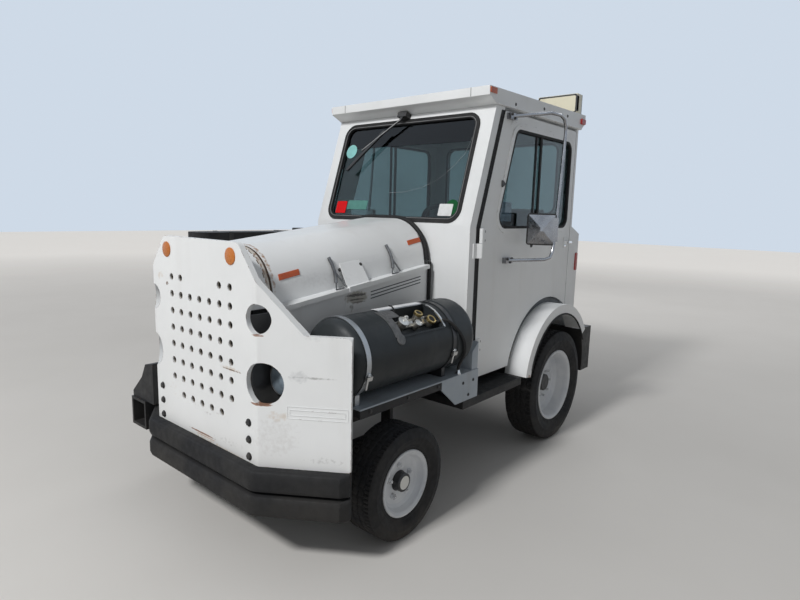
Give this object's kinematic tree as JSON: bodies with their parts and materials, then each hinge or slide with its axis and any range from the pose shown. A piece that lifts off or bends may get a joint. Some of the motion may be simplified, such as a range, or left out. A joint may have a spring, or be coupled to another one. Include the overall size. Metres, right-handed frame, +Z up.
{
  "type": "aircraft pushback tractor",
  "caption": "Compact aircraft pushback tractor with bent steel nose plate, opening hood, side gas tank, closed cab with opening doors, steered front wheels and rear tow hitch.",
  "frame": {"origin": "on the ground, under the middle of the tractor's bounding box", "axes": "+X to the tractor's left, +Y to its rear, +Z up; it drives towards -Y"},
  "size_m": [1.5144, 2.798, 2.212],
  "materials": {
    "white_paint": "worn gloss",
    "black_paint": "satin",
    "grey_paint": "worn satin",
    "grey_paint_dark": "worn satin",
    "tank_paint": "satin",
    "rim_paint": "worn gloss",
    "bright_steel": "brushed",
    "black_steel": "satin",
    "radiator_metal": "dull",
    "engine_iron": "rough",
    "brass_fittings": "dull",
    "black_rubber": "matt",
    "tyre": "matt",
    "black_vinyl": "satin",
    "black_plastic": "matt",
    "cream_plastic": "gloss",
    "lamp_plastic": "gloss",
    "window_glass": "clear"
  },
  "bodies": {
    "chassis": {"front_plate": "white_paint", "bumper_rubbers": "black_rubber", "main_frame": "black_paint", "side_decks": "grey_paint", "nose_shell": "white_paint", "engine_casing": "white_paint", "radiator": "radiator_metal", "engine": "engine_iron", "cab_floor": "grey_paint_dark", "cab_front": "white_paint", "cab_rear": "white_paint", "cab_roof": "white_paint", "cab_glass": "window_glass", "window_seals": "black_rubber", "rear_fenders": "white_paint", "rear_weight": "black_paint", "tow_hitch": "black_paint", "gas_tank": "tank_paint", "tank_straps": "bright_steel", "tank_fittings": "brass_fittings", "side_tank": "black_paint", "corner_socket": "black_paint", "seat": "black_vinyl", "dashboard": "black_plastic", "steering_wheel": "black_plastic", "front_axle": "black_paint", "rear_axle": "black_paint", "roof_lamp": "cream_plastic", "lamps": "lamp_plastic", "wiper": "black_plastic"},
    "hood": {"hood": "white_paint", "hood_latches": "black_steel"},
    "door_left": {"door_left": "white_paint", "door_left_glass": "window_glass", "mirror_left": "bright_steel"},
    "door_right": {"door_right": "white_paint", "door_right_glass": "window_glass", "mirror_right": "bright_steel"},
    "knuckle_left": {"knuckle_left": "black_steel"},
    "knuckle_right": {"knuckle_right": "black_steel"},
    "tie_rod": {"tie_rod": "black_steel"},
    "front_wheel_left": {"front_tyre_left": "tyre", "front_rim_left": "rim_paint"},
    "front_wheel_right": {"front_tyre_right": "tyre", "front_rim_right": "rim_paint"},
    "rear_wheel_left": {"rear_tyre_left": "tyre", "rear_rim_left": "rim_paint"},
    "rear_wheel_right": {"rear_tyre_right": "tyre", "rear_rim_right": "rim_paint"}
  },
  "joints": [
    {"name": "hood_hinge", "type": "hinge", "parent": "chassis", "child": "hood", "pos_m": [-0.35, -0.706, 1.07285], "axis": [0, -0.9923, -0.124], "range_deg": [0, 70]},
    {"name": "door_left_hinge", "type": "hinge", "parent": "chassis", "child": "door_left", "pos_m": [0.592, -0.101, 1.3], "axis": [0, 0, -1], "range_deg": [0, 75]},
    {"name": "door_right_hinge", "type": "hinge", "parent": "chassis", "child": "door_right", "pos_m": [-0.592, -0.101, 1.3], "axis": [0, 0, 1], "range_deg": [0, 75]},
    {"name": "steer_left", "type": "hinge", "parent": "chassis", "child": "knuckle_left", "pos_m": [0.455, -0.787, 0.252], "axis": [0, 0, 1], "range_deg": [-30, 30]},
    {"name": "steer_right", "type": "hinge", "parent": "chassis", "child": "knuckle_right", "pos_m": [-0.455, -0.787, 0.252], "axis": [0, 0, 1], "range_deg": [-30, 30]},
    {"name": "tie_rod_pivot", "type": "hinge", "parent": "knuckle_left", "child": "tie_rod", "pos_m": [0.455, -0.637, 0.164], "axis": [0, 0, 1], "range_deg": [-30, 30]},
    {"name": "front_wheel_left_spin", "type": "hinge", "parent": "knuckle_left", "child": "front_wheel_left", "pos_m": [0.617, -0.787, 0.252], "axis": [1, 0, 0], "continuous": true},
    {"name": "front_wheel_right_spin", "type": "hinge", "parent": "knuckle_right", "child": "front_wheel_right", "pos_m": [-0.617, -0.787, 0.252], "axis": [1, 0, 0], "continuous": true},
    {"name": "rear_wheel_left_spin", "type": "hinge", "parent": "chassis", "child": "rear_wheel_left", "pos_m": [0.578, 0.759, 0.351], "axis": [1, 0, 0], "continuous": true},
    {"name": "rear_wheel_right_spin", "type": "hinge", "parent": "chassis", "child": "rear_wheel_right", "pos_m": [-0.578, 0.759, 0.351], "axis": [1, 0, 0], "continuous": true}
  ],
  "couplings": [
    {"joint": "steer_right", "follows": "steer_left", "ratio": 1},
    {"joint": "tie_rod_pivot", "follows": "steer_left", "ratio": -1}
  ]
}
